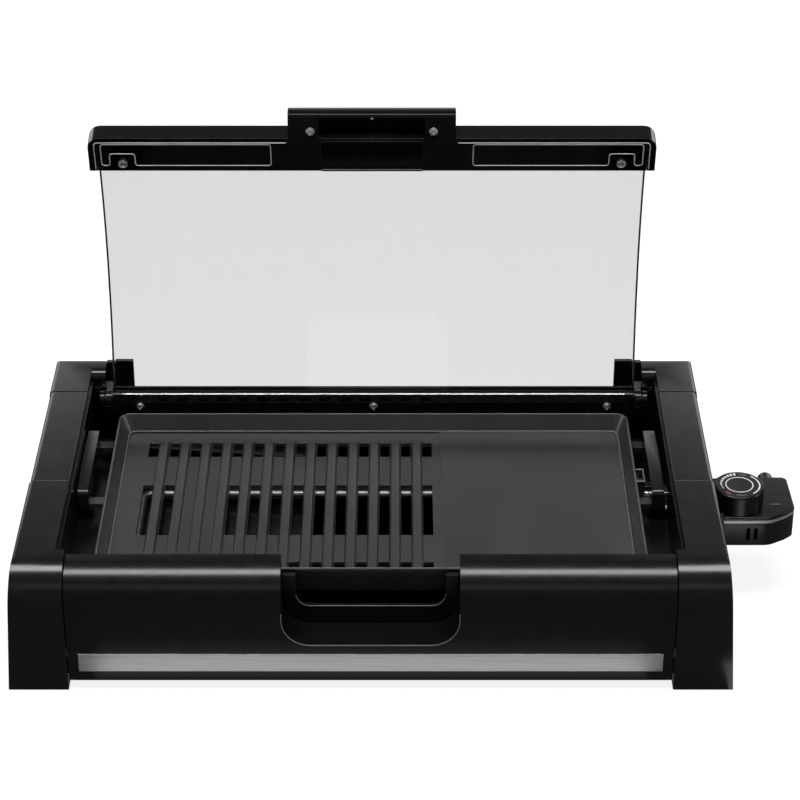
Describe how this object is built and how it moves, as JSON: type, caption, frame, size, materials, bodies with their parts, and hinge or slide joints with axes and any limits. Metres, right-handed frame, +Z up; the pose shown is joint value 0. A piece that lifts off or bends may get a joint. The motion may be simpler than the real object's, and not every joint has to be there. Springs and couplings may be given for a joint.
{
  "type": "electric indoor grill",
  "caption": "Electric indoor grill: ribbed and flat plate in a black base, hinged curved glass lid, pull-out drip tray and plug-in thermostat control.",
  "frame": {"origin": "centre of the bounding box, on the worktop", "axes": "+X to the side that carries the plug-in control, -Y towards the front panel, +Z up"},
  "size_m": [0.6194, 0.325, 0.3587],
  "materials": {
    "satin_black_plastic": "fine satin moulding",
    "gloss_black_plastic": "polished moulding",
    "non_stick_coating": "dark non-stick coating on die-cast aluminium",
    "black_enamel": "glossy black enamel on steel sheet",
    "brushed_steel": "brushed along its length",
    "bright_steel": "plain bright steel",
    "heater_steel": "dull tube steel",
    "clear_glass": "clear tempered glass",
    "black_rubber": "moulded rubber",
    "white_ceramic": "unglazed",
    "contact_brass": "plain",
    "seal_grey_rubber": "thin seal"
  },
  "bodies": {
    "base": {"left_front_leg": "satin_black_plastic", "right_front_leg": "satin_black_plastic", "left_carry_grip": "satin_black_plastic", "right_carry_grip": "satin_black_plastic", "left_hinge_housing": "satin_black_plastic", "right_hinge_housing": "satin_black_plastic", "front_panel": "gloss_black_plastic", "front_trim_strip": "brushed_steel", "rear_panel": "satin_black_plastic", "bottom_cover": "satin_black_plastic", "basin": "black_enamel", "drip_guide": "black_enamel", "left_tray_rail": "black_enamel", "right_tray_rail": "black_enamel", "plate_pads": "black_rubber", "left_hinge_bracket": "black_enamel", "right_hinge_bracket": "black_enamel", "foot_pads": "black_rubber", "cover_screws": "bright_steel", "bracket_screws": "black_enamel"},
    "plate": {"grill_plate": "non_stick_coating", "left_plate_handle": "satin_black_plastic", "right_plate_handle": "satin_black_plastic", "plate_handle_screws": "bright_steel", "heating_element": "heater_steel", "element_clips": "heater_steel", "terminal_shroud": "bright_steel", "terminal_insulator": "white_ceramic", "terminal_pins": "bright_steel"},
    "tray": {"drip_tray": "black_enamel", "tray_front": "gloss_black_plastic", "tray_rivets": "bright_steel"},
    "lid": {"lid_glass": "clear_glass", "lid_front_trim": "gloss_black_plastic", "lid_front_strip": "gloss_black_plastic", "lid_rear_trim": "gloss_black_plastic", "lid_rear_clamp": "gloss_black_plastic", "glass_seals": "seal_grey_rubber", "lid_handle_bracket": "gloss_black_plastic", "lid_handle_grip": "gloss_black_plastic", "lid_strip_screws": "bright_steel", "lid_clamp_screws": "bright_steel", "lid_handle_screws": "bright_steel", "left_hinge_arm": "black_enamel", "right_hinge_arm": "black_enamel", "hinge_pins": "black_enamel"},
    "control": {"control_lower_housing": "satin_black_plastic", "control_upper_housing": "satin_black_plastic", "control_trim_band": "brushed_steel", "sensor_rod": "bright_steel", "contact_leaves": "contact_brass", "thermostat_block": "white_ceramic", "control_screws": "bright_steel", "cord_gland": "satin_black_plastic"},
    "knob": {"knob": "gloss_black_plastic", "knob_shaft": "bright_steel"}
  },
  "joints": [
    {"name": "lid_hinge", "type": "hinge", "parent": "base", "child": "lid", "pos_m": [-0.02975, 0.1215, 0.093], "axis": [-1, 0, 0], "range_deg": [-90, 0]},
    {"name": "plate_lift", "type": "slide", "parent": "base", "child": "plate", "axis": [0, 0, 1], "range_m": [0, 0.1]},
    {"name": "tray_slide", "type": "slide", "parent": "base", "child": "tray", "axis": [0, -1, 0], "range_m": [0, 0.2]},
    {"name": "control_unplug", "type": "slide", "parent": "base", "child": "control", "axis": [1, 0, 0], "range_m": [0, 0.165]},
    {"name": "knob_turn", "type": "hinge", "parent": "control", "child": "knob", "pos_m": [0.26475, -0.0208, 0.09], "axis": [0, 0, 1], "range_deg": [-270, 0]}
  ]
}
